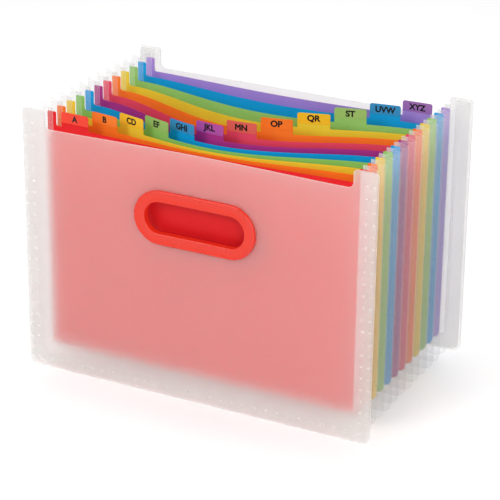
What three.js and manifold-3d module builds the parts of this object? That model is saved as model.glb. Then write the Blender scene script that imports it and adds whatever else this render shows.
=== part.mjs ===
// A desktop expanding file: two frosted covers, twelve coloured index dividers between them,
// and a folded frosted film round the sides and bottom of each of the thirteen pockets.
// Millimetres. X runs along the width, Y from the front cover to the back cover, Z up.
import * as THREE from 'three';
import { mergeVertices } from 'three/addons/utils/BufferGeometryUtils.js';
import Module from 'manifold-3d';

// Driving dimensions

const coverWidth = 330;
const coverHeight = 240;
const coverThickness = 1;
const coverCornerRadius = 7;
const earTopRadius = 2.5;
const pockets = 13;
const pocketPitch = 15.4;

// The ears are the raised corners of a cover, left and right of its lowered top edge.
const coverEarWidth = 21.5;
const frontEarRise = 16;
const backEarRise = 19;
const earRootRadius = 5.5;

const dividerThickness = 0.4;
const dividerSideInset = 15;
const dividerBottomInset = 17;
const dividerCornerRadius = 6;
const dividerEarWidth = 8.5;
const dividerEarDrop = 5;
const dividerEarRise = 12.5;
const dividerEarRootRadius = 2;

const tabWidth = 27;
const tabHeight = 13.5;
const tabCornerRadius = 1.8;
const firstTabFromEar = 5.5;
const lastTabFromEar = 8;
const labelHeight = 9.3;
const labelThickness = 0.2;

const filmThickness = 0.3;
const filmTopDrop = 1.5;
const filmFoldInset = 4;
const filmFoldRadius = 9;
const filmLipWidth = 5.5;
const filmLipRadius = 2;
const coverLipInset = 2;
const coverLipWidth = 14;
const coverLipRadius = 7;
// What a weld joins is drawn this far apart.
const weldGap = 0.1;

// The sheets bow forward between their welded sides, most of all in the middle pockets.
const dividerBow = 43;
const dividerBowSpread = 1.35;
const bowFootAboveLip = 1.5;
const coverBow = 4;

const handleHeight = 164;
const gripHalfLength = 33;
const gripRadius = 14;
const rimWidth = 10;
const rimThickness = 2.8;
const rimBevel = 0.9;
const sleeveWall = 2;
const rearRimWidth = 6.5;
const rearRimThickness = 1.6;
const handleClearance = 0.3;

// Facets: rows up a bowed sheet, the widest and narrowest columns on it, steps round a corner or
// grip end, and the radius under which a corner is a single chamfer.
const bowRows = 5;
const widestColumn = 26;
const narrowestColumn = 7;
const cornerSteps = 3;
const smallRadius = 3;
const gripEndSteps = 8;

// Colours of the six front dividers, then of the six behind them, which end in violet

const sheetColours = [0xe11e23, 0xfa7323, 0xf5b91e, 0x78b450, 0x008cd2, 0xaa238c];
const secondSheetColours = [0xeb3255, 0xfa7323, 0xebb91e, 0x82b45a, 0x008cd7, 0x9664b4];
const labelColours = [0xeb412d, 0xf5822d, 0xf0c832, 0x96c36e, 0x3791cd, 0xbe55aa];
const secondLabelColours = [0xe66455, 0xfa8228, 0xf0c828, 0x9bc373, 0x3791cd, 0xaa73b4];
const frostedColour = 0xdedcd8;
const handleColour = 0xeb2d23;

// Worked-out sizes

const halfCover = coverWidth / 2;
const halfDivider = halfCover - dividerSideInset;
const coverEarInner = halfCover - coverEarWidth;
const dividerEarInner = halfDivider - dividerEarWidth;
const dividerEarTop = coverHeight - dividerEarDrop;
const dividerTop = dividerEarTop - dividerEarRise;
const tabTop = dividerTop + tabHeight;
const dividers = pockets - 1;
const firstTabMiddle = -dividerEarInner + firstTabFromEar + tabWidth / 2;
const lastTabMiddle = dividerEarInner - lastTabFromEar - tabWidth / 2;
const tabSpacing = (lastTabMiddle - firstTabMiddle) / (dividers - 1);

// How far a bowed sheet has moved at one point: nothing beside and below the film's lips,
// all of it in the middle of the top edge.
const bowFoot = dividerBottomInset + filmLipWidth + bowFootAboveLip;

function bowShare(x, z, topEdge) {
  const across = Math.max(0, 1 - (x / dividerEarInner) ** 2) ** 2;
  const up = THREE.MathUtils.smoothstep(z, bowFoot, topEdge);
  return across * up;
}

function dividerPlane(number) {
  const depth = dividerBow * Math.sin((Math.PI * number) / pockets) ** dividerBowSpread;
  return (x, z) => number * pocketPitch - depth * bowShare(x, z, dividerTop);
}

function frontCoverPlane(x, z) {
  return coverBow * bowShare(x, z, coverHeight - frontEarRise);
}

function backCoverPlane() {
  return pockets * pocketPitch;
}

// Outline helpers

// Height of a rounded lower corner above a straight bottom edge.
function roundedRise(x, halfWidth, radius) {
  const into = Math.abs(x) - (halfWidth - radius);
  return into <= 0 ? 0 : radius - Math.sqrt(Math.max(0, radius ** 2 - into ** 2));
}

// Distances from a corner at which a quarter circle of this radius is drawn.
function cornerStops(radius) {
  const steps = radius < smallRadius ? 1 : cornerSteps;
  const stops = [];
  for (let step = 0; step <= steps; step++) {
    stops.push(radius * (1 - Math.cos((step / steps) * (Math.PI / 2))));
  }
  return stops;
}

// Sorted column places: all the fixed ones, and even ones between them where a gap is wide.
function fillColumns(fixed) {
  const sorted = [...new Set(fixed.map((x) => Number(x.toFixed(4))))].sort((a, b) => a - b);
  const columns = [sorted[0]];
  for (const next of sorted.slice(1)) {
    const last = columns[columns.length - 1];
    const parts = Math.ceil((next - last) / widestColumn);
    for (let part = 1; part <= parts; part++) {
      columns.push(last + ((next - last) * part) / parts);
    }
  }
  return columns;
}

// A thin sheet that stands up and may be bowed. Its body runs from bottom(x) to top(x), with its
// first row up to foot, and each raised piece (an ear or a tab) goes on from there to its own
// top(x), between two of the columns.
function sheetGeometry({ columns, rows, bottom, foot, top, raised = [], plane, thickness }) {
  const levels = rows + 1;
  const raisedAt = (x) => raised.find((piece) => x > piece.from && x < piece.to);
  const positions = [];
  const corner = (column, level, face) => 2 * (column * (levels + 1) + level) + face;

  columns.forEach((x, column) => {
    const beside = [columns[column - 1], columns[column + 1]].filter((other) => other !== undefined);
    const piece = beside.map((other) => raisedAt((x + other) / 2)).find((found) => found);
    for (let level = 0; level <= levels; level++) {
      const above = (Math.min(level, rows) - 1) / (rows - 1);
      const body = level === 0 ? bottom(x) : foot + (top(x) - foot) * above;
      const z = level === levels && piece ? piece.top(x) : body;
      const y = plane(x, z);
      positions.push(x, y - thickness / 2, z, x, y + thickness / 2, z);
    }
  });

  const exists = (column, level) => {
    if (column < 0 || column > columns.length - 2 || level < 0 || level > rows) {
      return false;
    }
    return level < rows || raisedAt((columns[column] + columns[column + 1]) / 2) !== undefined;
  };
  const index = [];
  const quad = (a, b, c, d) => index.push(a, b, c, a, c, d);
  for (let column = 0; column < columns.length - 1; column++) {
    for (let level = 0; level <= rows; level++) {
      if (!exists(column, level)) {
        continue;
      }
      const [a, b] = [corner(column, level, 0), corner(column + 1, level, 0)];
      const [d, c] = [corner(column, level + 1, 0), corner(column + 1, level + 1, 0)];
      quad(a, b, c, d);
      // Split along the same diagonal as the front face, so that the two keep their distance.
      quad(a + 1, d + 1, c + 1, b + 1);
      if (!exists(column - 1, level)) {
        quad(a, d, d + 1, a + 1);
      }
      if (!exists(column + 1, level)) {
        quad(b, b + 1, c + 1, c);
      }
      if (!exists(column, level - 1)) {
        quad(a, a + 1, b + 1, b);
      }
      if (!exists(column, level + 1)) {
        quad(d, c, c + 1, d + 1);
      }
    }
  }
  return closedGeometry(positions, index);
}

function closedGeometry(positions, index) {
  const geometry = new THREE.BufferGeometry();
  geometry.setAttribute('position', new THREE.Float32BufferAttribute(positions, 3));
  geometry.setIndex(index);
  const merged = mergeVertices(geometry, 1e-5);
  merged.computeVertexNormals();
  return merged;
}

// Covers

function coverGeometry(earRise, plane, rows) {
  const lowEdge = coverHeight - earRise;
  const sides = [-1, 1];
  const fixed = [0];
  for (const side of sides) {
    fixed.push(side * coverEarInner);
    cornerStops(coverCornerRadius).forEach((stop) => fixed.push(side * (halfCover - stop)));
    cornerStops(earTopRadius).forEach((stop) => fixed.push(side * (halfCover - stop)));
    cornerStops(earTopRadius).forEach((stop) => fixed.push(side * (coverEarInner + stop)));
    cornerStops(earRootRadius).forEach((stop) => fixed.push(side * (coverEarInner - stop)));
  }
  const earMiddle = halfCover - coverEarWidth / 2;
  const earTop = (x) => coverHeight - roundedRise(Math.abs(x) - earMiddle, coverEarWidth / 2, earTopRadius);
  const top = (x) => {
    if (Math.abs(x) >= coverEarInner) {
      return lowEdge + earRootRadius;
    }
    return lowEdge + roundedRise(x, coverEarInner, earRootRadius);
  };
  return sheetGeometry({
    columns: fillColumns(fixed),
    rows,
    bottom: (x) => roundedRise(x, halfCover, coverCornerRadius),
    foot: bowFoot,
    top,
    raised: sides.map((side) => ({
      from: Math.min(side * coverEarInner, side * halfCover),
      to: Math.max(side * coverEarInner, side * halfCover),
      top: earTop,
    })),
    plane,
    thickness: coverThickness,
  });
}

// Dividers and the labels on their tabs

function tabMiddle(number) {
  return firstTabMiddle + (number - 1) * tabSpacing;
}

function tabColumns(number) {
  const [left, right] = [tabMiddle(number) - tabWidth / 2, tabMiddle(number) + tabWidth / 2];
  const stops = cornerStops(tabCornerRadius);
  return [...stops.map((stop) => left + stop), tabMiddle(number), ...stops.map((stop) => right - stop)];
}

function tabTopAt(number) {
  return (x) => tabTop - roundedRise(x - tabMiddle(number), tabWidth / 2, tabCornerRadius);
}

function dividerGeometry(number) {
  const sides = [-1, 1];
  const fixed = [...tabColumns(number)];
  for (const side of sides) {
    fixed.push(side * dividerEarInner);
    cornerStops(dividerCornerRadius).forEach((stop) => fixed.push(side * (halfDivider - stop)));
    cornerStops(dividerEarRootRadius).forEach((stop) => fixed.push(side * (dividerEarInner - stop)));
  }
  const bowStops = Math.ceil(dividerEarInner / widestColumn);
  for (let stop = -bowStops + 1; stop < bowStops; stop++) {
    const x = (stop * dividerEarInner) / bowStops;
    if (fixed.every((other) => Math.abs(other - x) > narrowestColumn)) {
      fixed.push(x);
    }
  }
  const top = (x) => {
    if (Math.abs(x) >= dividerEarInner) {
      return dividerTop + dividerEarRootRadius;
    }
    return dividerTop + roundedRise(x, dividerEarInner, dividerEarRootRadius);
  };
  const ears = sides.map((side) => ({
    from: Math.min(side * dividerEarInner, side * halfDivider),
    to: Math.max(side * dividerEarInner, side * halfDivider),
    top: () => dividerEarTop,
  }));
  const tab = {
    from: tabMiddle(number) - tabWidth / 2,
    to: tabMiddle(number) + tabWidth / 2,
    top: tabTopAt(number),
  };
  return sheetGeometry({
    columns: fillColumns(fixed),
    rows: bowRows,
    bottom: (x) => dividerBottomInset + roundedRise(x, halfDivider, dividerCornerRadius),
    foot: bowFoot,
    top,
    raised: [...ears, tab],
    plane: dividerPlane(number),
    thickness: dividerThickness,
  });
}

function labelGeometry(number) {
  const offset = dividerThickness / 2 + weldGap + labelThickness / 2;
  const plane = dividerPlane(number);
  return sheetGeometry({
    columns: fillColumns(tabColumns(number)),
    rows: 2,
    bottom: () => tabTop - labelHeight,
    foot: tabTop - labelHeight / 2,
    top: tabTopAt(number),
    plane: (x, z) => plane(x, z) - offset,
    thickness: labelThickness,
  });
}

// Gussets: one strip of film per pocket, folded to a V with its fold outwards, which runs down
// one side, along the bottom and up the other side. Its two lips lie on the sheets it joins.

// One place on the film's section: how far in it is from the cover's outline at the sides and at
// the bottom, the radius of its corners, and its place between the covers.
function sectionPlace(side, bottom, radius, y) {
  return { side, bottom, radius, y };
}

function gussetSection(number) {
  const front = (number - 1) * pocketPitch;
  const rear = number * pocketPitch;
  const reach = weldGap + filmThickness / 2;
  const onCover = coverThickness / 2 + reach;
  const onDivider = dividerThickness / 2 + reach;
  const lip = (isCover, y) => {
    if (isCover) {
      const inner = coverLipInset + coverLipWidth;
      return [
        sectionPlace(inner, inner, filmLipRadius, y),
        sectionPlace(coverLipInset, coverLipInset, coverLipRadius, y),
      ];
    }
    return [
      sectionPlace(dividerSideInset + filmLipWidth, dividerBottomInset + filmLipWidth, filmLipRadius, y),
      sectionPlace(dividerSideInset, dividerBottomInset, dividerCornerRadius, y),
    ];
  };
  const frontLip = lip(number === 1, front + (number === 1 ? onCover : onDivider));
  const rearLip = lip(number === pockets, rear - (number === pockets ? onCover : onDivider));
  const fold = sectionPlace(filmFoldInset, filmFoldInset, filmFoldRadius, (front + rear) / 2);
  return [...frontLip, fold, ...rearLip.reverse()];
}

// The section line given a thickness: the places on its outer face, then on its inner face.
function thickened(section) {
  const half = filmThickness / 2;
  const normals = section.slice(1).map((place, i) => {
    const [run, rise] = [place.side - section[i].side, place.y - section[i].y];
    const length = Math.hypot(run, rise);
    return [-rise / length, run / length];
  });
  const moved = (place, i, way) => {
    const before = normals[Math.max(0, i - 1)];
    const after = normals[Math.min(normals.length - 1, i)];
    const sum = [before[0] + after[0], before[1] + after[1]];
    const scale = (2 * way * half) / (sum[0] ** 2 + sum[1] ** 2);
    const inward = sum[0] * scale;
    const radius = Math.max(half, place.radius - inward);
    return sectionPlace(place.side + inward, place.bottom + inward, radius, place.y + sum[1] * scale);
  };
  return [section.map((place, i) => moved(place, i, 1)), section.map((place, i) => moved(place, i, -1))];
}

function gussetGeometry(number) {
  const [outer, inner] = thickened(gussetSection(number));
  const filmTop = coverHeight - filmTopDrop;
  const stations = [];
  const station = (place) => stations.push([outer.map(place), inner.map(place)]);
  const cornerPlace = (side, turn) => (at) => {
    const x = halfCover - at.side - at.radius + at.radius * Math.cos(turn);
    const z = at.bottom + at.radius - at.radius * Math.sin(turn);
    return [side * x, at.y, z];
  };
  station((at) => [-(halfCover - at.side), at.y, filmTop]);
  for (let step = 0; step <= cornerSteps; step++) {
    station(cornerPlace(-1, (step / cornerSteps) * (Math.PI / 2)));
  }
  for (let step = cornerSteps; step >= 0; step--) {
    station(cornerPlace(1, (step / cornerSteps) * (Math.PI / 2)));
  }
  station((at) => [halfCover - at.side, at.y, filmTop]);

  const count = outer.length;
  const positions = stations.flat(3);
  const at = (which, face, i) => (which * 2 + face) * count + i;
  const index = [];
  const quad = (a, b, c, d) => index.push(a, d, c, a, c, b);
  for (let which = 0; which < stations.length - 1; which++) {
    const next = which + 1;
    for (let i = 0; i < count - 1; i++) {
      quad(at(which, 0, i), at(next, 0, i), at(next, 0, i + 1), at(which, 0, i + 1));
      quad(at(which, 1, i), at(which, 1, i + 1), at(next, 1, i + 1), at(next, 1, i));
    }
    quad(at(which, 0, 0), at(which, 1, 0), at(next, 1, 0), at(next, 0, 0));
    const end = count - 1;
    quad(at(which, 0, end), at(next, 0, end), at(next, 1, end), at(which, 1, end));
  }
  const lastStation = stations.length - 1;
  for (let i = 0; i < count - 1; i++) {
    quad(at(0, 0, i), at(0, 0, i + 1), at(0, 1, i + 1), at(0, 1, i));
    quad(at(lastStation, 0, i), at(lastStation, 1, i), at(lastStation, 1, i + 1), at(lastStation, 0, i + 1));
  }
  return closedGeometry(positions, index);
}

// Handle: a front rim with a sleeve through the cover, and a rear rim that holds it from behind.

// A ring round the grip hole. Each corner of its section is a distance out from the grip's
// centre line and a distance in front of the cover; the ring follows the bow of the cover.
function gripRing(section) {
  const turns = [];
  for (const side of [1, -1]) {
    for (let step = 0; step <= gripEndSteps; step++) {
      turns.push({ side, turn: -Math.PI / 2 + (Math.PI * step) / gripEndSteps + (side < 0 ? Math.PI : 0) });
    }
    turns.push({ side: 0, turn: side * (Math.PI / 2) });
  }
  const positions = [];
  for (const { side, turn } of turns) {
    for (const [out, ahead] of section) {
      const x = side * gripHalfLength + out * Math.cos(turn);
      const z = handleHeight + out * Math.sin(turn);
      positions.push(x, frontCoverPlane(x, z) - coverThickness / 2 - ahead, z);
    }
  }
  const count = section.length;
  const index = [];
  for (let which = 0; which < turns.length; which++) {
    const next = (which + 1) % turns.length;
    for (let i = 0; i < count; i++) {
      const j = (i + 1) % count;
      const [a, b, c, d] = [which * count + i, which * count + j, next * count + j, next * count + i];
      index.push(a, b, c, a, c, d);
    }
  }
  return closedGeometry(positions, index);
}

const sleeveRadius = gripRadius + sleeveWall;
const rimRadius = gripRadius + rimWidth;
const rearRimFront = -coverThickness - handleClearance;
const rearRimBack = rearRimFront - rearRimThickness;

function frontRimGeometry() {
  return gripRing([
    [gripRadius, rearRimBack],
    [gripRadius, rimThickness - rimBevel],
    [gripRadius + rimBevel, rimThickness],
    [rimRadius - rimBevel, rimThickness],
    [rimRadius, rimThickness - rimBevel],
    [rimRadius, handleClearance],
    [sleeveRadius, handleClearance],
    [sleeveRadius, rearRimBack],
  ]);
}

function rearRimGeometry() {
  const inner = sleeveRadius + handleClearance;
  const outer = inner + rearRimWidth;
  return gripRing([
    [inner, rearRimBack],
    [inner, rearRimFront],
    [outer, rearRimFront],
    [outer, rearRimBack + rimBevel],
    [outer - rimBevel, rearRimBack],
  ]);
}

const wasm = await Module();
wasm.setup();

function toSolid(geometry) {
  const bare = geometry.clone();
  bare.deleteAttribute('normal');
  bare.deleteAttribute('uv');
  const merged = mergeVertices(bare, 1e-5);
  return new wasm.Manifold(new wasm.Mesh({
    numProp: 3,
    vertProperties: new Float32Array(merged.attributes.position.array),
    triVerts: new Uint32Array(merged.index.array),
  }));
}

function fromSolid(solid) {
  const { vertProperties, triVerts } = solid.getMesh();
  return closedGeometry(Array.from(vertProperties), Array.from(triVerts));
}

function gripCutter() {
  const radius = sleeveRadius + handleClearance;
  const outline = new THREE.Shape();
  outline.absarc(gripHalfLength, handleHeight, radius, -Math.PI / 2, Math.PI / 2, false);
  outline.absarc(-gripHalfLength, handleHeight, radius, Math.PI / 2, 1.5 * Math.PI, false);
  const depth = 2 * (coverBow + coverThickness);
  const geometry = new THREE.ExtrudeGeometry(outline, {
    depth,
    bevelEnabled: false,
    curveSegments: gripEndSteps,
  });
  geometry.rotateX(Math.PI / 2);
  geometry.translate(0, depth - coverThickness, 0);
  return geometry;
}

function frontCoverGeometry() {
  const plain = toSolid(coverGeometry(frontEarRise, frontCoverPlane, bowRows));
  return fromSolid(plain.subtract(toSolid(gripCutter())));
}

// Assembly

const model = new THREE.Group();

function add(name, geometry, colour, roughness, opacity = 1) {
  const material = new THREE.MeshStandardMaterial({ color: colour, roughness, metalness: 0 });
  material.transparent = opacity < 1;
  material.opacity = opacity;
  const mesh = new THREE.Mesh(geometry, material);
  mesh.name = name;
  model.add(mesh);
}

function numbered(name, number) {
  return `${name}_${String(number).padStart(2, '0')}`;
}

function shade(number, first, second) {
  const shades = [...first, ...second];
  return shades[(number - 1) % shades.length];
}

add('front_cover', frontCoverGeometry(), frostedColour, 0.45, 0.6);
add('back_cover', coverGeometry(backEarRise, backCoverPlane, 2), frostedColour, 0.45, 0.6);
add('handle_front_rim', frontRimGeometry(), handleColour, 0.3);
add('handle_rear_rim', rearRimGeometry(), handleColour, 0.3);
for (let number = 1; number <= dividers; number++) {
  const sheet = shade(number, sheetColours, secondSheetColours);
  const label = shade(number, labelColours, secondLabelColours);
  add(numbered('divider', number), dividerGeometry(number), sheet, 0.35, 0.85);
  add(numbered('tab_label', number), labelGeometry(number), label, 0.5);
}
for (let number = 1; number <= pockets; number++) {
  add(numbered('gusset', number), gussetGeometry(number), frostedColour, 0.4, 0.5);
}

// The origin is the middle of the object's outline on the surface that it stands on.
const outline = new THREE.Box3().setFromObject(model);
model.position.y = -(outline.min.y + outline.max.y) / 2;

export default model;
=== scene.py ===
"""Looks of the expanding file: frosted covers and pleated films round twelve coloured index sheets.

Metres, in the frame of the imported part: X along the width, Y from front to back, Z up.
"""
import math
import random

import bpy
from mathutils import Matrix, Vector


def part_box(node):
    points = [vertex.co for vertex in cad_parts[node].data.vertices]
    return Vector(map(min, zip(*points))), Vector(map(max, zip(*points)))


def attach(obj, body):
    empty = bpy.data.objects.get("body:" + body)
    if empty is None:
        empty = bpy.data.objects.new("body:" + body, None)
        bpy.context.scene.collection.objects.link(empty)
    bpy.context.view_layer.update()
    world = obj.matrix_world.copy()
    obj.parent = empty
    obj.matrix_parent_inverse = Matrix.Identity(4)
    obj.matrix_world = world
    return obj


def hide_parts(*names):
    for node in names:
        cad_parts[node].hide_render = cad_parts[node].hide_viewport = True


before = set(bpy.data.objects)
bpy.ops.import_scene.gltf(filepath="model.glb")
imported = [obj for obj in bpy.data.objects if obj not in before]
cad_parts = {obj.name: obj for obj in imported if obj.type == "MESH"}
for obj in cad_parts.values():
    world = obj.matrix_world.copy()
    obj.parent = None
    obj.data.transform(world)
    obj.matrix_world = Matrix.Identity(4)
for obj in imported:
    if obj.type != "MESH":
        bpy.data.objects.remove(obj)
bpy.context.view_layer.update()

# Sizes read from the frame

COVER_THICKNESS = 0.001
front_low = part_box("front_cover")[0]
back_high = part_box("back_cover")[1]
HALF_COVER = back_high.x
COVER_HEIGHT = back_high.z
FRONT_Y = front_low.y + COVER_THICKNESS / 2
BACK_Y = back_high.y - COVER_THICKNESS / 2
POCKETS = sum(name.startswith("gusset_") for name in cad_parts)
DIVIDERS = POCKETS - 1
PITCH = (BACK_Y - FRONT_Y) / POCKETS
HALF_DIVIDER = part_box("divider_01")[1].x
DIVIDER_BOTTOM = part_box("divider_01")[0].z
TAB_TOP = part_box("divider_01")[1].z
FILM_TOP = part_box("gusset_01")[1].z

# Other sizes of the real object

COVER_CORNER_RADIUS = 0.007
COVER_EAR_WIDTH = 0.0215
FRONT_EAR_RISE = 0.016
BACK_EAR_RISE = 0.019
EAR_TOP_RADIUS = 0.0025
EAR_ROOT_RADIUS = 0.0055

DIVIDER_THICKNESS = 0.0004
DIVIDER_CORNER_RADIUS = 0.006
DIVIDER_EAR_WIDTH = 0.0085
DIVIDER_EAR_DROP = 0.005
DIVIDER_EAR_RISE = 0.0125
DIVIDER_EAR_ROOT_RADIUS = 0.002
DIVIDER_EAR_TOP_RADIUS = 0.0012

TAB_WIDTH = 0.027
TAB_HEIGHT = 0.0135
TAB_CORNER_RADIUS = 0.0018
FIRST_TAB_FROM_EAR = 0.0055
LAST_TAB_FROM_EAR = 0.008
LABEL_HEIGHT = 0.0093
LABEL_THICKNESS = 0.0002
LETTER_SIZE = 0.0074
LETTER_BOLDNESS = 0.00032
LETTER_THICKNESS = 0.00006
LETTER_GAP = 0.00003
INDEX = ["A", "B", "CD", "EF", "GHI", "JKL", "MN", "OP", "QR", "ST", "UVW", "XYZ"]

FILM_THICKNESS = 0.0003
FILM_FOLD_INSET = 0.004
FILM_FOLD_RADIUS = 0.009
FOLD_ROUNDING = 0.0012
FOLD_WANDER = 0.0006
FILM_LIP_WIDTH = 0.0055
FILM_LIP_RADIUS = 0.002
COVER_LIP_INSET = 0.002
COVER_LIP_WIDTH = 0.014
COVER_LIP_RADIUS = 0.007
WELD_GAP = 0.0001

DIVIDER_BOW = 0.043
DIVIDER_BOW_SPREAD = 1.35
BOW_FOOT_ABOVE_LIP = 0.0015
COVER_BOW = 0.004

HANDLE_HEIGHT = 0.164
GRIP_HALF_LENGTH = 0.033
GRIP_RADIUS = 0.014
RIM_WIDTH = 0.010
RIM_THICKNESS = 0.0028
RIM_ROUNDING = 0.0011
RIM_FACE_DROP = 0.0005
RIM_FACE_MARGIN = 0.00242
SLEEVE_WALL = 0.002
REAR_RIM_WIDTH = 0.0065
REAR_RIM_THICKNESS = 0.0016
REAR_RIM_BEVEL = 0.0009
HANDLE_CLEARANCE = 0.0003

WELD_DOT_RADIUS = 0.0010
WELD_DOT_HEIGHT = 0.00012
WELD_DOT_PITCH = 0.0105
# Each ring of a dot: its share of the dot's radius and of the dot's height.
WELD_DOT_RINGS = [(1, 0.1), (0.8, 0.7), (0.4, 1)]
WELD_DOT_SIDES = 12
WELD_COLUMNS = [0.0027, 0.0095]
WELD_ROW_HEIGHT = 0.0085

# Fineness of the meshes

WIDEST_COLUMN = 0.005
CORNER_STEPS = 6
SHEET_ROWS = 18
GRIP_END_STEPS = 28
ROUNDING_STEPS = 4
FILM_ROWS = 14
FILM_COLUMNS = 30

# Places worked out from the sizes

COVER_EAR_INNER = HALF_COVER - COVER_EAR_WIDTH
DIVIDER_EAR_INNER = HALF_DIVIDER - DIVIDER_EAR_WIDTH
DIVIDER_EAR_TOP = COVER_HEIGHT - DIVIDER_EAR_DROP
DIVIDER_TOP = DIVIDER_EAR_TOP - DIVIDER_EAR_RISE
DIVIDER_SIDE_INSET = HALF_COVER - HALF_DIVIDER
FIRST_TAB = -DIVIDER_EAR_INNER + FIRST_TAB_FROM_EAR + TAB_WIDTH / 2
LAST_TAB = DIVIDER_EAR_INNER - LAST_TAB_FROM_EAR - TAB_WIDTH / 2
TAB_SPACING = (LAST_TAB - FIRST_TAB) / (DIVIDERS - 1)
BOW_FOOT = DIVIDER_BOTTOM + FILM_LIP_WIDTH + BOW_FOOT_ABOVE_LIP


def smoothstep(value, low, high):
    share = min(1.0, max(0.0, (value - low) / (high - low)))
    return share * share * (3 - 2 * share)


def bow_share(x, z, top_edge):
    across = max(0.0, 1 - (x / DIVIDER_EAR_INNER) ** 2) ** 2
    return across * smoothstep(z, BOW_FOOT, top_edge)


def divider_plane(number):
    depth = DIVIDER_BOW * math.sin(math.pi * number / POCKETS) ** DIVIDER_BOW_SPREAD
    return lambda x, z: FRONT_Y + number * PITCH - depth * bow_share(x, z, DIVIDER_TOP)


def front_cover_plane(x, z):
    return FRONT_Y + COVER_BOW * bow_share(x, z, COVER_HEIGHT - FRONT_EAR_RISE)


def back_cover_plane(x, z):
    return BACK_Y


# Meshes

def make_piece(name, vertices, faces, kinds, materials, smooth_angle=40):
    """A piece of the object. Each face takes the material that its kind numbers."""
    mesh = bpy.data.meshes.new(name)
    mesh.from_pydata(vertices, [], faces)
    for material in materials:
        mesh.materials.append(material)
    mesh.polygons.foreach_set("material_index", kinds)
    mesh.polygons.foreach_set("use_smooth", [True] * len(faces))
    mesh.set_sharp_from_angle(angle=math.radians(smooth_angle))
    mesh.validate()
    mesh.update()
    piece = bpy.data.objects.new(name, mesh)
    bpy.context.scene.collection.objects.link(piece)
    return piece


def rounded_rise(x, half_width, radius):
    into = abs(x) - (half_width - radius)
    return 0.0 if into <= 0 else radius - math.sqrt(max(0.0, radius ** 2 - into ** 2))


def corner_stops(radius):
    turns = [step / CORNER_STEPS * math.pi / 2 for step in range(CORNER_STEPS + 1)]
    return [radius * (1 - math.cos(turn)) for turn in turns]


def fill_columns(fixed):
    places = sorted({round(x, 7) for x in fixed})
    columns = [places[0]]
    for place in places[1:]:
        last = columns[-1]
        parts = math.ceil((place - last) / WIDEST_COLUMN)
        columns += [last + (place - last) * part / parts for part in range(1, parts + 1)]
    return columns


def standing_sheet(columns, rows, bottom, foot, top, raised, plane, thickness):
    """A thin bowed sheet on edge, with ears or a tab raised from its top edge.

    Returns its vertices, its faces and their kinds: 0 for the two large faces, 1 for the cut edge.
    """
    levels = rows + 1

    def raised_at(x):
        return next((piece for piece in raised if piece["low"] < x < piece["high"]), None)

    vertices = []
    for column, x in enumerate(columns):
        beside = columns[max(0, column - 1):column] + columns[column + 1:column + 2]
        piece = next((p for p in (raised_at((x + other) / 2) for other in beside) if p), None)
        for level in range(levels + 1):
            above = (min(level, rows) - 1) / (rows - 1)
            z = bottom(x) if level == 0 else foot + (top(x) - foot) * above
            if level == levels and piece:
                z = piece["top"](x)
            y = plane(x, z)
            vertices += [(x, y - thickness / 2, z), (x, y + thickness / 2, z)]

    def corner(column, level):
        return 2 * (column * (levels + 1) + level)

    def exists(column, level):
        if not (0 <= column <= len(columns) - 2 and 0 <= level <= rows):
            return False
        return level < rows or raised_at((columns[column] + columns[column + 1]) / 2) is not None

    faces, kinds = [], []
    for column in range(len(columns) - 1):
        for level in range(rows + 1):
            if not exists(column, level):
                continue
            a, b = corner(column, level), corner(column + 1, level)
            d, c = corner(column, level + 1), corner(column + 1, level + 1)
            # Both large faces split along the same diagonal, so that they keep their distance.
            faces += [(a, b, c, d), (a + 1, d + 1, c + 1, b + 1)]
            kinds += [0, 0]
            edges = [
                (exists(column - 1, level), (a, d, d + 1, a + 1)),
                (exists(column + 1, level), (b, b + 1, c + 1, c)),
                (exists(column, level - 1), (a, a + 1, b + 1, b)),
                (exists(column, level + 1), (d, c, c + 1, d + 1)),
            ]
            for joined, face in edges:
                if not joined:
                    faces.append(face)
                    kinds.append(1)
    return vertices, faces, kinds


def clean(vertices, faces, kinds):
    """The same mesh without the vertices that no face uses."""
    used = sorted({corner for face in faces for corner in face})
    place = {old: new for new, old in enumerate(used)}
    return [vertices[old] for old in used], [tuple(place[i] for i in face) for face in faces], kinds


def cover_mesh(ear_rise, plane):
    low_edge = COVER_HEIGHT - ear_rise
    fixed = [0.0]
    for side in (-1, 1):
        fixed.append(side * COVER_EAR_INNER)
        fixed += [side * (HALF_COVER - stop) for stop in corner_stops(COVER_CORNER_RADIUS)]
        fixed += [side * (HALF_COVER - stop) for stop in corner_stops(EAR_TOP_RADIUS)]
        fixed += [side * (COVER_EAR_INNER + stop) for stop in corner_stops(EAR_TOP_RADIUS)]
        fixed += [side * (COVER_EAR_INNER - stop) for stop in corner_stops(EAR_ROOT_RADIUS)]
    ear_middle = HALF_COVER - COVER_EAR_WIDTH / 2

    def ear_top(x):
        return COVER_HEIGHT - rounded_rise(abs(x) - ear_middle, COVER_EAR_WIDTH / 2, EAR_TOP_RADIUS)

    def top(x):
        if abs(x) >= COVER_EAR_INNER - 1e-7:
            return low_edge + EAR_ROOT_RADIUS
        return low_edge + rounded_rise(x, COVER_EAR_INNER, EAR_ROOT_RADIUS)

    ears = [
        {"low": min(side * COVER_EAR_INNER, side * HALF_COVER),
         "high": max(side * COVER_EAR_INNER, side * HALF_COVER),
         "top": ear_top}
        for side in (-1, 1)
    ]
    return clean(*standing_sheet(
        fill_columns(fixed), SHEET_ROWS,
        lambda x: rounded_rise(x, HALF_COVER, COVER_CORNER_RADIUS),
        BOW_FOOT, top, ears, plane, COVER_THICKNESS,
    ))


def tab_middle(number):
    return FIRST_TAB + (number - 1) * TAB_SPACING


def tab_columns(number):
    left, right = tab_middle(number) - TAB_WIDTH / 2, tab_middle(number) + TAB_WIDTH / 2
    stops = corner_stops(TAB_CORNER_RADIUS)
    return [left + stop for stop in stops] + [tab_middle(number)] + [right - stop for stop in stops]


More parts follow.
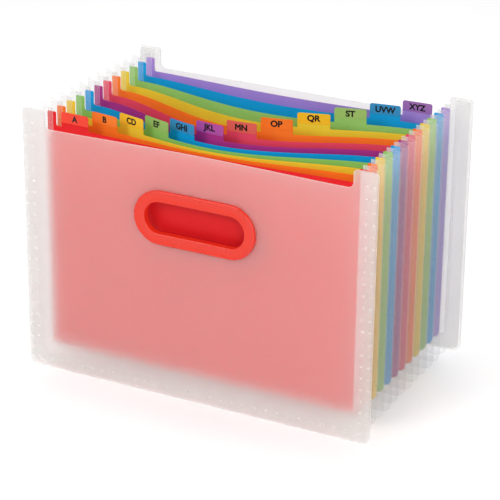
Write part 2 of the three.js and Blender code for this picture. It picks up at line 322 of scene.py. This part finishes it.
def tab_top_at(number):
    return lambda x: TAB_TOP - rounded_rise(x - tab_middle(number), TAB_WIDTH / 2, TAB_CORNER_RADIUS)


def divider_mesh(number):
    fixed = tab_columns(number)
    for side in (-1, 1):
        fixed.append(side * DIVIDER_EAR_INNER)
        fixed += [side * (HALF_DIVIDER - stop) for stop in corner_stops(DIVIDER_CORNER_RADIUS)]
        fixed += [side * (HALF_DIVIDER - stop) for stop in corner_stops(DIVIDER_EAR_TOP_RADIUS)]
        fixed += [side * (DIVIDER_EAR_INNER + stop) for stop in corner_stops(DIVIDER_EAR_TOP_RADIUS)]
        fixed += [side * (DIVIDER_EAR_INNER - stop) for stop in corner_stops(DIVIDER_EAR_ROOT_RADIUS)]
    ear_middle = HALF_DIVIDER - DIVIDER_EAR_WIDTH / 2

    def ear_top(x):
        drop = rounded_rise(abs(x) - ear_middle, DIVIDER_EAR_WIDTH / 2, DIVIDER_EAR_TOP_RADIUS)
        return DIVIDER_EAR_TOP - drop

    def top(x):
        if abs(x) >= DIVIDER_EAR_INNER - 1e-7:
            return DIVIDER_TOP + DIVIDER_EAR_ROOT_RADIUS
        return DIVIDER_TOP + rounded_rise(x, DIVIDER_EAR_INNER, DIVIDER_EAR_ROOT_RADIUS)

    raised = [
        {"low": min(side * DIVIDER_EAR_INNER, side * HALF_DIVIDER),
         "high": max(side * DIVIDER_EAR_INNER, side * HALF_DIVIDER),
         "top": ear_top}
        for side in (-1, 1)
    ]
    raised.append({
        "low": tab_middle(number) - TAB_WIDTH / 2,
        "high": tab_middle(number) + TAB_WIDTH / 2,
        "top": tab_top_at(number),
    })
    return clean(*standing_sheet(
        fill_columns(fixed), SHEET_ROWS,
        lambda x: DIVIDER_BOTTOM + rounded_rise(x, HALF_DIVIDER, DIVIDER_CORNER_RADIUS),
        BOW_FOOT, top, raised, divider_plane(number), DIVIDER_THICKNESS,
    ))


def label_mesh(number):
    offset = DIVIDER_THICKNESS / 2 + WELD_GAP + LABEL_THICKNESS / 2
    plane = divider_plane(number)
    return clean(*standing_sheet(
        fill_columns(tab_columns(number)), 3,
        lambda x: TAB_TOP - LABEL_HEIGHT,
        TAB_TOP - LABEL_HEIGHT / 2, tab_top_at(number), [],
        lambda x, z: plane(x, z) - offset, LABEL_THICKNESS,
    ))


# Films: each is a section of places (inset at the sides, inset at the bottom, corner radius, y)
# that runs down one side, along the bottom and up the other side.

def film_section(number):
    wander = random.Random(number)
    front = FRONT_Y + (number - 1) * PITCH
    rear = front + PITCH
    reach = WELD_GAP + FILM_THICKNESS / 2
    on_cover = COVER_THICKNESS / 2 + reach
    on_divider = DIVIDER_THICKNESS / 2 + reach

    def lip(is_cover, y):
        if is_cover:
            inner = COVER_LIP_INSET + COVER_LIP_WIDTH
            return [(inner, inner, FILM_LIP_RADIUS, y),
                    (COVER_LIP_INSET, COVER_LIP_INSET, COVER_LIP_RADIUS, y)]
        side, bottom = DIVIDER_SIDE_INSET, DIVIDER_BOTTOM
        return [(side + FILM_LIP_WIDTH, bottom + FILM_LIP_WIDTH, FILM_LIP_RADIUS, y),
                (side, bottom, DIVIDER_CORNER_RADIUS, y)]

    front_lip = lip(number == 1, front + (on_cover if number == 1 else on_divider))
    rear_lip = lip(number == POCKETS, rear - (on_cover if number == POCKETS else on_divider))
    middle = (front + rear) / 2 + FOLD_WANDER * wander.uniform(-1, 1)
    inset = FILM_FOLD_INSET + FOLD_WANDER * wander.uniform(0, 1)
    fold = []
    for step in range(-ROUNDING_STEPS, ROUNDING_STEPS + 1):
        turn = step / ROUNDING_STEPS * math.radians(60)
        back = FOLD_ROUNDING * (1 - math.cos(turn))
        y = middle + FOLD_ROUNDING * math.sin(turn)
        fold.append((inset + back, inset + back, FILM_FOLD_RADIUS, y))
    return front_lip + fold + rear_lip[::-1]


def thickened(section):
    """The section's outer face and inner face."""
    half = FILM_THICKNESS / 2
    normals = []
    for here, after in zip(section, section[1:]):
        run, rise = after[0] - here[0], after[3] - here[3]
        length = math.hypot(run, rise)
        normals.append((-rise / length, run / length))

    def moved(i, way):
        side, bottom, radius, y = section[i]
        before, after = normals[max(0, i - 1)], normals[min(len(normals) - 1, i)]
        total = (before[0] + after[0], before[1] + after[1])
        scale = 2 * way * half / (total[0] ** 2 + total[1] ** 2)
        inward = total[0] * scale
        return (side + inward, bottom + inward, max(half, radius - inward), y + total[1] * scale)

    return [[moved(i, way) for i in range(len(section))] for way in (1, -1)]


def film_mesh(number):
    outer, inner = thickened(film_section(number))
    stations = []

    def upright(side, share):
        def place(at):
            low = at[1] + at[2]
            return (side * (HALF_COVER - at[0]), at[3], low + (FILM_TOP - low) * share)
        return place

    def corner(side, turn):
        def place(at):
            x = HALF_COVER - at[0] - at[2] + at[2] * math.cos(turn)
            return (side * x, at[3], at[1] + at[2] - at[2] * math.sin(turn))
        return place

    def along(share):
        def place(at):
            return ((2 * share - 1) * (HALF_COVER - at[0] - at[2]), at[3], at[1])
        return place

    for row in range(FILM_ROWS):
        stations.append(upright(-1, 1 - row / FILM_ROWS))
    for step in range(CORNER_STEPS + 1):
        stations.append(corner(-1, step / CORNER_STEPS * math.pi / 2))
    for column in range(1, FILM_COLUMNS):
        stations.append(along(column / FILM_COLUMNS))
    for step in range(CORNER_STEPS, -1, -1):
        stations.append(corner(1, step / CORNER_STEPS * math.pi / 2))
    for row in range(FILM_ROWS - 1, -1, -1):
        stations.append(upright(1, 1 - row / FILM_ROWS))

    count = len(outer)
    vertices = [place(at) for place in stations for face in (outer, inner) for at in face]
    faces, kinds = [], []

    def at(station, face, i):
        return (station * 2 + face) * count + i

    def quad(kind, a, b, c, d):
        faces.append((a, d, c, b))
        kinds.append(kind)

    def finish_of(i):
        """0 on the free film, 2 on a lip that lies on a divider, 3 on a lip that lies on a cover."""
        if i == 0:
            return 3 if number == 1 else 2
        if i == count - 2:
            return 3 if number == POCKETS else 2
        return 0

    for here in range(len(stations) - 1):
        after = here + 1
        for i in range(count - 1):
            kind = finish_of(i)
            quad(kind, at(here, 0, i), at(after, 0, i), at(after, 0, i + 1), at(here, 0, i + 1))
            quad(kind, at(here, 1, i), at(here, 1, i + 1), at(after, 1, i + 1), at(after, 1, i))
        quad(1, at(here, 0, 0), at(here, 1, 0), at(after, 1, 0), at(after, 0, 0))
        end = count - 1
        quad(1, at(here, 0, end), at(after, 0, end), at(after, 1, end), at(here, 1, end))
    last = len(stations) - 1
    for i in range(count - 1):
        quad(1, at(0, 0, i), at(0, 0, i + 1), at(0, 1, i + 1), at(0, 1, i))
        quad(1, at(last, 0, i), at(last, 1, i), at(last, 1, i + 1), at(last, 0, i + 1))
    return vertices, faces, kinds


# Handle: closed rings round the grip hole, whose section is given as (distance out, distance ahead)

SLEEVE_RADIUS = GRIP_RADIUS + SLEEVE_WALL
RIM_RADIUS = GRIP_RADIUS + RIM_WIDTH
REAR_RIM_FRONT = -COVER_THICKNESS - HANDLE_CLEARANCE
REAR_RIM_BACK = REAR_RIM_FRONT - REAR_RIM_THICKNESS


def grip_turns():
    turns = []
    for side in (1, -1):
        start = -math.pi / 2 if side > 0 else math.pi / 2
        for step in range(GRIP_END_STEPS + 1):
            turns.append((side * GRIP_HALF_LENGTH, start + math.pi * step / GRIP_END_STEPS))
        for share in (0.6, 0.2, -0.2, -0.6):
            turns.append((side * share * GRIP_HALF_LENGTH, side * math.pi / 2))
    return turns


def grip_ring(section):
    turns = grip_turns()
    vertices = []
    for centre, turn in turns:
        for out, ahead in section:
            x = centre + out * math.cos(turn)
            z = HANDLE_HEIGHT + out * math.sin(turn)
            vertices.append((x, front_cover_plane(x, z) - COVER_THICKNESS / 2 - ahead, z))
    count = len(section)
    faces = []
    for which in range(len(turns)):
        after = (which + 1) % len(turns)
        for i in range(count):
            j = (i + 1) % count
            faces.append((which * count + i, which * count + j, after * count + j, after * count + i))
    return vertices, faces, [0] * len(faces)


def rounded_corner(out, ahead, radius, start, end):
    """Points of a rounded corner of the section, centred on (out, ahead), angles in degrees."""
    points = []
    for step in range(ROUNDING_STEPS + 1):
        turn = math.radians(start + (end - start) * step / ROUNDING_STEPS)
        points.append((out + radius * math.cos(turn), ahead + radius * math.sin(turn)))
    return points


def front_rim_section():
    r = RIM_ROUNDING
    lip = RIM_THICKNESS
    face = RIM_THICKNESS - RIM_FACE_DROP
    return (
        [(GRIP_RADIUS, REAR_RIM_BACK)]
        + rounded_corner(GRIP_RADIUS + r, lip - r, r, 180, 60)
        + [(GRIP_RADIUS + RIM_FACE_MARGIN, face), (RIM_RADIUS - RIM_FACE_MARGIN, face)]
        + rounded_corner(RIM_RADIUS - r, lip - r, r, 120, 0)
        + [(RIM_RADIUS, HANDLE_CLEARANCE), (SLEEVE_RADIUS, HANDLE_CLEARANCE)]
        + [(SLEEVE_RADIUS, REAR_RIM_BACK)]
    )


def rear_rim_section():
    inner = SLEEVE_RADIUS + HANDLE_CLEARANCE
    outer = inner + REAR_RIM_WIDTH
    return [
        (inner, REAR_RIM_BACK),
        (inner, REAR_RIM_FRONT),
        (outer, REAR_RIM_FRONT),
        (outer, REAR_RIM_BACK + REAR_RIM_BEVEL),
        (outer - REAR_RIM_BEVEL, REAR_RIM_BACK),
    ]


def cut_grip_hole(cover):
    """Cuts the oval hole for the handle's sleeve through the front cover."""
    radius = SLEEVE_RADIUS + HANDLE_CLEARANCE
    turns = grip_turns()
    depth = 4 * COVER_BOW
    outline = [(c + radius * math.cos(t), HANDLE_HEIGHT + radius * math.sin(t)) for c, t in turns]
    count = len(outline)
    vertices = [(x, FRONT_Y - depth, z) for x, z in outline]
    vertices += [(x, FRONT_Y + depth, z) for x, z in outline]
    faces = [tuple(range(count)), tuple(range(2 * count - 1, count - 1, -1))]
    for i in range(count):
        j = (i + 1) % count
        faces.append((j, i, i + count, j + count))
    cutter = make_piece("grip_cutter", vertices, faces, [1] * len(faces), cover.data.materials)
    hole = cover.modifiers.new("grip_hole", "BOOLEAN")
    hole.operation = "DIFFERENCE"
    hole.solver = "EXACT"
    hole.object = cutter
    graph = bpy.context.evaluated_depsgraph_get()
    cut = bpy.data.meshes.new_from_object(cover.evaluated_get(graph))
    cover.modifiers.clear()
    cover.data = cut
    cover.data.set_sharp_from_angle(angle=math.radians(40))
    bpy.data.objects.remove(cutter)


def letters_piece(number, material):
    """The letters of one index tab, set on its label and bent to the sheet's bow."""
    text = bpy.data.curves.new("letters", "FONT")
    text.body = INDEX[number - 1]
    text.size = LETTER_SIZE
    text.bevel_depth = LETTER_BOLDNESS
    text.bevel_resolution = 0
    text.align_x = "CENTER"
    text.align_y = "CENTER"
    source = bpy.data.objects.new("letters", text)
    bpy.context.scene.collection.objects.link(source)
    graph = bpy.context.evaluated_depsgraph_get()
    mesh = bpy.data.meshes.new_from_object(source.evaluated_get(graph))
    bpy.data.objects.remove(source)
    plane = divider_plane(number)
    ahead = DIVIDER_THICKNESS / 2 + WELD_GAP + LABEL_THICKNESS + LETTER_GAP + LETTER_THICKNESS / 2
    flatten = LETTER_THICKNESS / (2 * LETTER_BOLDNESS)
    heights = [vertex.co.y for vertex in mesh.vertices]
    lift = TAB_TOP - LABEL_HEIGHT / 2 - (min(heights) + max(heights)) / 2
    for vertex in mesh.vertices:
        x, z = vertex.co.x + tab_middle(number), vertex.co.y + lift
        vertex.co = (x, plane(x, z) - ahead - flatten * vertex.co.z, z)
    mesh.materials.clear()
    mesh.materials.append(material)
    piece = bpy.data.objects.new(f"index_letters_{number:02d}", mesh)
    bpy.context.scene.collection.objects.link(piece)
    return piece


def weld_dots(name, face_y, facing, material):
    """Low round weld marks down both side bands of a cover, and along its bottom band."""
    centres = []
    rows = int((COVER_HEIGHT - 2 * COVER_CORNER_RADIUS) / WELD_DOT_PITCH)
    for side in (-1, 1):
        for inset in WELD_COLUMNS:
            for row in range(rows + 1):
                z = COVER_CORNER_RADIUS + row * WELD_DOT_PITCH
                centres.append((side * (HALF_COVER - inset), z))
    reach = HALF_COVER - COVER_EAR_WIDTH
    count = int(2 * reach / WELD_DOT_PITCH)
    for i in range(count + 1):
        centres.append((-reach + 2 * reach * i / count, WELD_ROW_HEIGHT))
    sides = WELD_DOT_SIDES
    vertices, faces = [], []
    for x, z in centres:
        start = len(vertices)
        for share, height in WELD_DOT_RINGS:
            for step in range(sides):
                turn = 2 * math.pi * step / sides
                vertices.append((
                    x + WELD_DOT_RADIUS * share * math.cos(turn),
                    face_y + facing * WELD_DOT_HEIGHT * height,
                    z + WELD_DOT_RADIUS * share * math.sin(turn),
                ))
        for ring in range(2):
            for step in range(sides):
                after = (step + 1) % sides
                a, b = start + ring * sides + step, start + ring * sides + after
                face = (a, b, b + sides, a + sides)
                faces.append(face if facing < 0 else face[::-1])
        top_cap = tuple(range(start + 2 * sides, start + 3 * sides))
        base_cap = tuple(range(start + sides - 1, start - 1, -1))
        faces += [cap if facing < 0 else cap[::-1] for cap in (top_cap, base_cap)]
    return make_piece(name, vertices, faces, [0] * len(faces), [material])


# Materials

def linear(red, green, blue):
    """A screen colour, 0 to 255 each, as the light it stands for."""
    shares = [value / 255 for value in (red, green, blue)]
    return [s / 12.92 if s <= 0.04045 else ((s + 0.055) / 1.055) ** 2.4 for s in shares] + [1.0]


class Nodes:
    """Short ways to add and join the nodes of one material."""

    def __init__(self, name):
        self.material = bpy.data.materials.new(name)
        self.material.use_nodes = True
        self.tree = self.material.node_tree
        self.tree.nodes.clear()
        self.output = self.tree.nodes.new("ShaderNodeOutputMaterial")
        self.coordinates = self.add("ShaderNodeTexCoord").outputs["Object"]

    def add(self, kind, settings=(), **inputs):
        node = self.tree.nodes.new(kind)
        for key, value in settings:
            setattr(node, key, value)
        for key, value in inputs.items():
            self.set(node.inputs[key.replace("_", " ")], value)
        return node

    def set(self, socket, value):
        if isinstance(value, bpy.types.NodeSocket):
            self.tree.links.new(value, socket)
        else:
            socket.default_value = value

    def maths(self, operation, *values):
        node = self.tree.nodes.new("ShaderNodeMath")
        node.operation = operation
        for socket, value in zip(node.inputs, values):
            self.set(socket, value)
        return node.outputs[0]

    def mixed(self, share, first, second):
        node = self.tree.nodes.new("ShaderNodeMixShader")
        self.set(node.inputs[0], share)
        self.set(node.inputs[1], first)
        self.set(node.inputs[2], second)
        return node.outputs[0]

    def noise(self, scale, detail=2.0):
        node = self.add("ShaderNodeTexNoise", Scale=scale, Detail=detail)
        self.set(node.inputs["Vector"], self.coordinates)
        return node.outputs["Fac"]

    def range(self, value, low, high):
        """A share from 0 to 1 brought to the range from low to high."""
        return self.maths("MULTIPLY_ADD", value, high - low, low)

    def tinted(self, colour, share, strength):
        """The colour made a little darker or lighter by a share from 0 to 1."""
        node = self.add("ShaderNodeHueSaturation", Color=colour)
        self.set(node.inputs["Value"], self.range(share, 1 - strength, 1 + strength))
        return node.outputs[0]

    def bump(self, height, distance, strength=1.0):
        node = self.add("ShaderNodeBump", Strength=strength, Distance=distance)
        self.set(node.inputs["Height"], height)
        return node.outputs[0]

    def diagonal(self, period, way):
        """Waves that run diagonally over the sheets, -1 to 1."""
        x, _, z = self.separated()
        place = self.maths("ADD", x, self.maths("MULTIPLY", z, way))
        return self.maths("SINE", self.maths("MULTIPLY", place, 2 * math.pi / period))

    def separated(self):
        node = self.add("ShaderNodeSeparateXYZ", Vector=self.coordinates)
        return node.outputs

    def gloss_share(self, straight, grazing):
        """How much a surface reflects, seen straight on and at a grazing angle."""
        weight = self.add("ShaderNodeLayerWeight", Blend=0.5).outputs["Facing"]
        return self.range(self.maths("POWER", weight, 5.0), straight, grazing)

    def lamps_through(self, shader, light):
        """The shader, which lets the light of the lamps on to what is behind it."""
        is_shadow = self.add("ShaderNodeLightPath").outputs["Is Shadow Ray"]
        clear = self.add("ShaderNodeBsdfTransparent", Color=light).outputs[0]
        return self.mixed(is_shadow, shader, clear)

    def finish(self, shader):
        self.set(self.output.inputs["Surface"], shader)
        return self.material


EMBOSS_PERIOD = 0.0022
WELD_RIB_PERIOD = 0.0026
# How much lamp light a divider passes: a share of every colour, and more of its own.
PASSED_OF_ALL = 0.30
PASSED_OF_DYE = 0.27


def frosted_scatter(nodes, colour, normal, through=0.5):
    diffuse = nodes.add("ShaderNodeBsdfDiffuse", Color=colour, Normal=normal).outputs[0]
    translucent = nodes.add("ShaderNodeBsdfTranslucent", Color=colour, Normal=normal).outputs[0]
    return nodes.mixed(through, diffuse, translucent)


def frosted_cover_material():
    """Milky polypropylene with a fine crossed emboss; what is behind it is blurred."""
    nodes = Nodes("frosted_cover")
    one_way, other_way = nodes.diagonal(EMBOSS_PERIOD, 1), nodes.diagonal(EMBOSS_PERIOD, -1)
    crossed = nodes.maths("MULTIPLY", one_way, other_way)
    normal = nodes.bump(nodes.range(crossed, 0.5, 1.0), 0.00012, 0.5)
    cloud = nodes.noise(18)
    colour = nodes.tinted(linear(237, 234, 230), cloud, 0.03)
    scatter = frosted_scatter(nodes, colour, normal)
    haze = nodes.range(crossed, 0.245, 0.305)
    clear = nodes.add("ShaderNodeBsdfRefraction", Color=[1, 1, 1, 1], Roughness=0.62, IOR=1.25)
    nodes.set(clear.inputs["Normal"], normal)
    body = nodes.mixed(haze, clear.outputs[0], scatter)
    gloss = nodes.add("ShaderNodeBsdfGlossy", Color=[1, 1, 1, 1], Roughness=0.42, Normal=normal)
    shader = nodes.mixed(nodes.gloss_share(0.03, 0.35), body, gloss.outputs[0])
    return nodes.finish(nodes.lamps_through(shader, [0.82, 0.82, 0.82, 1]))


def frosted_film_material(name, haze_low, haze_high, clear_light):
    """Thin matt film with faint clouding and fine ribs where it is welded."""
    nodes = Nodes(name)
    cloud = nodes.noise(40)
    _, _, z = nodes.separated()
    ribs = nodes.maths("SINE", nodes.maths("MULTIPLY", z, 2 * math.pi / WELD_RIB_PERIOD))
    normal = nodes.bump(ribs, 0.00008, 0.4)
    colour = nodes.tinted(linear(230, 230, 229), cloud, 0.03)
    scatter = frosted_scatter(nodes, colour, normal)
    haze = nodes.range(cloud, haze_low, haze_high)
    clear = nodes.add("ShaderNodeBsdfTransparent", Color=[clear_light] * 3 + [1]).outputs[0]
    body = nodes.mixed(haze, clear, scatter)
    gloss = nodes.add("ShaderNodeBsdfGlossy", Color=[1, 1, 1, 1], Roughness=0.35, Normal=normal)
    shader = nodes.mixed(nodes.gloss_share(0.006, 0.15), body, gloss.outputs[0])
    return nodes.finish(nodes.lamps_through(shader, [0.99, 0.99, 0.99, 1]))


def cut_edge_material(name, colour, clear_share, through=0.5):
    """The cut or folded edge of a sheet, and the weld marks. On the covers and films the edge's
    paler, more opaque colour is a painted highlight: it stands in for the light that a cut edge
    gathers and shows as a bright line.
    """
    nodes = Nodes(name)
    grain = nodes.noise(900)
    normal = nodes.bump(grain, 0.00005, 0.4)
    scatter = frosted_scatter(nodes, nodes.tinted(colour, grain, 0.04), normal, through)
    clear = nodes.add("ShaderNodeBsdfTransparent", Color=[1, 1, 1, 1]).outputs[0]
    shader = nodes.mixed(clear_share, scatter, clear)
    return nodes.finish(nodes.lamps_through(shader, [0.98, 0.98, 0.98, 1]))


def sheet_material(name, colour):
    """A coloured translucent divider: dyed plastic with a satin surface."""
    nodes = Nodes(name)
    cloud = nodes.noise(25)
    grain = nodes.noise(700, 3.0)
    normal = nodes.bump(grain, 0.00005, 0.25)
    dyed = nodes.tinted(colour, cloud, 0.05)
    scatter = frosted_scatter(nodes, dyed, normal, 0.15)
    clear = nodes.add("ShaderNodeBsdfTransparent", Color=colour).outputs[0]
    body = nodes.mixed(nodes.range(cloud, 0.87, 0.92), clear, scatter)
    gloss = nodes.add("ShaderNodeBsdfGlossy", Color=[1, 1, 1, 1], Roughness=0.38, Normal=normal)
    shader = nodes.mixed(nodes.gloss_share(0.015, 0.2), body, gloss.outputs[0])
    passed = [PASSED_OF_ALL + PASSED_OF_DYE * light for light in colour[:3]] + [1.0]
    return nodes.finish(nodes.lamps_through(shader, passed))


def label_material(name, colour):
    """A printed label: a satin card colour with a fine tooth."""
    nodes = Nodes(name)
    grain = nodes.noise(1200, 3.0)
    cloud = nodes.noise(120)
    shader = nodes.add("ShaderNodeBsdfPrincipled", Roughness=0.5)
    shader.inputs["Specular IOR Level"].default_value = 0.3
    nodes.set(shader.inputs["Base Color"], nodes.tinted(colour, cloud, 0.03))
    nodes.set(shader.inputs["Normal"], nodes.bump(grain, 0.00003, 0.3))
    return nodes.finish(shader.outputs[0])


def ink_material():
    nodes = Nodes("index_ink")
    cloud = nodes.noise(900, 3.0)
    shader = nodes.add("ShaderNodeBsdfPrincipled")
    shader.inputs["Specular IOR Level"].default_value = 0.25
    nodes.set(shader.inputs["Base Color"], nodes.tinted(linear(26, 24, 24), cloud, 0.25))
    nodes.set(shader.inputs["Roughness"], nodes.range(cloud, 0.45, 0.65))
    return nodes.finish(shader.outputs[0])


def handle_material():
    """Moulded red plastic with a satin shine and a trace of mould texture."""
    nodes = Nodes("handle_red")
    grain = nodes.noise(1500, 3.0)
    cloud = nodes.noise(60)
    shader = nodes.add("ShaderNodeBsdfPrincipled")
    shader.inputs["Specular IOR Level"].default_value = 0.5
    nodes.set(shader.inputs["Base Color"], nodes.tinted(linear(231, 46, 22), cloud, 0.04))
    nodes.set(shader.inputs["Roughness"], nodes.range(cloud, 0.24, 0.32))
    nodes.set(shader.inputs["Normal"], nodes.bump(grain, 0.00003, 0.2))
    return nodes.finish(shader.outputs[0])


# Colours: a sheet's own, and its label's, from front to back

SHADES = [
    ("red", (228, 32, 38), (238, 66, 46)),
    ("orange", (250, 140, 44), (248, 130, 42)),
    ("yellow", (243, 222, 66), (244, 204, 46)),
    ("green", (158, 214, 118), (150, 197, 108)),
    ("blue", (20, 176, 240), (55, 146, 208)),
    ("magenta", (200, 62, 150), (190, 84, 170)),
    ("rose", (240, 88, 118), (234, 102, 88)),
    ("orange_rear", (250, 146, 52), (252, 130, 38)),
    ("yellow_rear", (240, 226, 70), (242, 202, 38)),
    ("green_rear", (168, 216, 130), (156, 198, 114)),
    ("blue_rear", (28, 178, 240), (55, 146, 208)),
    ("violet", (198, 160, 226), (170, 115, 182)),
]


def place(piece, slot, *nodes):
    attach(piece, "root")
    if nodes:
        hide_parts(*nodes)
    return piece


cover_plastic = frosted_cover_material()
# The cover's cut edge is painted near white and nearly opaque: a painted highlight for its bright
# line.
cover_edge_highlight = cut_edge_material("cover_edge_painted_highlight", linear(255, 253, 250), 0.05)
film_plastic = frosted_film_material("frosted_film", 0.042, 0.058, 0.997)
sheet_lip = frosted_film_material("frosted_sheet_lip", 0.16, 0.20, 0.997)
cover_lip = frosted_film_material("frosted_cover_lip", 0.26, 0.30, 0.997)
# The film's cut edge is painted paler and more opaque than the film: a painted highlight for its
# bright line.
film_edge_painted_highlight = cut_edge_material("film_edge_painted_highlight", linear(250, 250, 249), 0.35)
ink = ink_material()
handle_plastic = handle_material()

cover_finish = [cover_plastic, cover_edge_highlight]
front_mesh = cover_mesh(FRONT_EAR_RISE, front_cover_plane)
front_cover = make_piece("front_cover_sheet", *front_mesh, cover_finish)
cut_grip_hole(front_cover)
place(front_cover, "frosted_cover", "front_cover")
back_mesh = cover_mesh(BACK_EAR_RISE, back_cover_plane)
back_cover = make_piece("back_cover_sheet", *back_mesh, cover_finish)
place(back_cover, "frosted_cover", "back_cover")

weld_mark = cut_edge_material("weld_mark", linear(255, 254, 252), 0.84, 0.0)
front_dots = weld_dots("front_weld_dots", FRONT_Y - COVER_THICKNESS / 2, -1, weld_mark)
place(front_dots, "frosted_cover")
back_dots = weld_dots("back_weld_dots", BACK_Y + COVER_THICKNESS / 2, 1, weld_mark)
place(back_dots, "frosted_cover")

front_rim = make_piece("handle_bezel", *grip_ring(front_rim_section()), [handle_plastic], 30)
place(front_rim, "handle_red", "handle_front_rim")
rear_rim = make_piece("handle_backing", *grip_ring(rear_rim_section()), [handle_plastic], 30)
place(rear_rim, "handle_red", "handle_rear_rim")

for number, (shade, sheet_colour, label_colour) in enumerate(SHADES, start=1):
    sheet_plastic = sheet_material(f"sheet_{shade}", linear(*sheet_colour))
    edge_plastic = cut_edge_material(f"sheet_edge_{shade}", linear(*label_colour), 0.1)
    divider_finish = [sheet_plastic, edge_plastic]
    divider = make_piece(f"index_sheet_{number:02d}", *divider_mesh(number), divider_finish)
    place(divider, f"sheet_{shade}", f"divider_{number:02d}")
    card = label_material(f"label_{shade}", linear(*label_colour))
    label = make_piece(f"index_label_{number:02d}", *label_mesh(number), [card, card])
    place(label, f"label_{shade}", f"tab_label_{number:02d}")
    place(letters_piece(number, ink), None)

film_finish = [film_plastic, film_edge_painted_highlight, sheet_lip, cover_lip]
for number in range(1, POCKETS + 1):
    film = make_piece(f"pleat_{number:02d}", *film_mesh(number), film_finish)
    place(film, "frosted_film", f"gusset_{number:02d}")


# Floor, background and light

def floor_material():
    """White ground that keeps the shadow and glows a little where it is seen."""
    nodes = Nodes("floor_white")
    diffuse = nodes.add("ShaderNodeBsdfDiffuse", Color=[FLOOR_WHITE] * 3 + [1]).outputs[0]
    path = nodes.add("ShaderNodeLightPath").outputs
    seen = nodes.maths("MAXIMUM", path["Is Camera Ray"], path["Is Glossy Ray"])
    seen = nodes.maths("MAXIMUM", seen, path["Is Transmission Ray"])
    glow = nodes.add("ShaderNodeEmission", Color=[1, 1, 1, 1])
    nodes.set(glow.inputs["Strength"], nodes.maths("MULTIPLY", seen, FLOOR_GLOW))
    both = nodes.add("ShaderNodeAddShader")
    nodes.set(both.inputs[0], diffuse)
    nodes.set(both.inputs[1], glow.outputs[0])
    return nodes.finish(both.outputs[0])


FLOOR_GLOW = 0.275
FLOOR_HALF_SIZE = 6.0
FLOOR_DROP = 0.0003
FLOOR_WHITE = 0.86
WORLD_STRENGTH = 0.50
LAMP_AIM = (0, 0, 0.12)


def make_floor():
    mesh = bpy.data.meshes.new("floor")
    h = FLOOR_HALF_SIZE
    corners = [(-h, -h, -FLOOR_DROP), (h, -h, -FLOOR_DROP), (h, h, -FLOOR_DROP), (-h, h, -FLOOR_DROP)]
    mesh.from_pydata(corners, [], [(0, 1, 2, 3)])
    mesh.materials.append(floor_material())
    floor = bpy.data.objects.new("floor", mesh)
    bpy.context.scene.collection.objects.link(floor)


def make_world():
    world = bpy.data.worlds.new("white_room")
    world.use_nodes = True
    tree = world.node_tree
    tree.nodes.clear()
    output = tree.nodes.new("ShaderNodeOutputWorld")
    path = tree.nodes.new("ShaderNodeLightPath")
    lit = tree.nodes.new("ShaderNodeBackground")
    lit.inputs["Color"].default_value = (1, 1, 1, 1)
    lit.inputs["Strength"].default_value = WORLD_STRENGTH
    seen = tree.nodes.new("ShaderNodeBackground")
    seen.inputs["Color"].default_value = (1, 1, 1, 1)
    seen.inputs["Strength"].default_value = 1.0
    rays = [path.outputs[f"Is {kind} Ray"] for kind in ("Camera", "Glossy", "Transmission")]
    share = rays[0]
    for ray in rays[1:]:
        either = tree.nodes.new("ShaderNodeMath")
        either.operation = "MAXIMUM"
        tree.links.new(share, either.inputs[0])
        tree.links.new(ray, either.inputs[1])
        share = either.outputs[0]
    mix = tree.nodes.new("ShaderNodeMixShader")
    tree.links.new(share, mix.inputs[0])
    tree.links.new(lit.outputs[0], mix.inputs[1])
    tree.links.new(seen.outputs[0], mix.inputs[2])
    tree.links.new(mix.outputs[0], output.inputs["Surface"])
    bpy.context.scene.world = world


def make_lamp(name, place_at, size, power):
    lamp = bpy.data.lights.new(name, "AREA")
    lamp.shape = "DISK"
    lamp.size = size
    lamp.energy = power
    holder = bpy.data.objects.new(name, lamp)
    holder.location = place_at
    holder.rotation_mode = "QUATERNION"
    holder.rotation_quaternion = (Vector(LAMP_AIM) - Vector(place_at)).to_track_quat("-Z", "Y")
    bpy.context.scene.collection.objects.link(holder)


# The camera looks at a point of the front cover's plane from the right and from above.

CAMERA_YAW = math.radians(26.88)
CAMERA_PITCH = math.radians(23.10)
CAMERA_ROLL = math.radians(0.64)
CAMERA_DISTANCE = 1.700
CAMERA_TARGET = Vector((0.0525, FRONT_Y, 0.1526))
FOCAL_PIXELS = 2073
FRAME_PIXELS = 500
SENSOR_WIDTH = 36.0


def make_camera():
    data = bpy.data.cameras.new("photo_camera")
    data.sensor_width = SENSOR_WIDTH
    data.lens = FOCAL_PIXELS / FRAME_PIXELS * SENSOR_WIDTH
    data.clip_start = 0.05
    data.clip_end = 30
    back = Vector((
        math.sin(CAMERA_YAW) * math.cos(CAMERA_PITCH),
        -math.cos(CAMERA_YAW) * math.cos(CAMERA_PITCH),
        math.sin(CAMERA_PITCH),
    ))
    level_right = Vector((0, 0, 1)).cross(back).normalized()
    level_up = back.cross(level_right)
    cos, sin = math.cos(CAMERA_ROLL), math.sin(CAMERA_ROLL)
    right = cos * level_right + sin * level_up
    up = cos * level_up - sin * level_right
    camera = bpy.data.objects.new("photo_camera", data)
    turn = Matrix((right, up, back)).transposed().to_4x4()
    camera.matrix_world = Matrix.Translation(CAMERA_TARGET + back * CAMERA_DISTANCE) @ turn
    bpy.context.scene.collection.objects.link(camera)
    bpy.context.scene.camera = camera


make_floor()
make_world()
make_lamp("key_upper_left", (-0.85, -1.8, 1.6), 1.0, 15.5)
make_lamp("top_behind", (-0.2, 0.55, 2.2), 0.9, 14)
make_lamp("fill_right", (1.6, -1.7, 1.0), 1.6, 20.5)
make_camera()

scene = bpy.context.scene
scene.view_settings.view_transform = "Standard"
# The pleats are many clear layers deep.
scene.cycles.transparent_max_bounces = 64
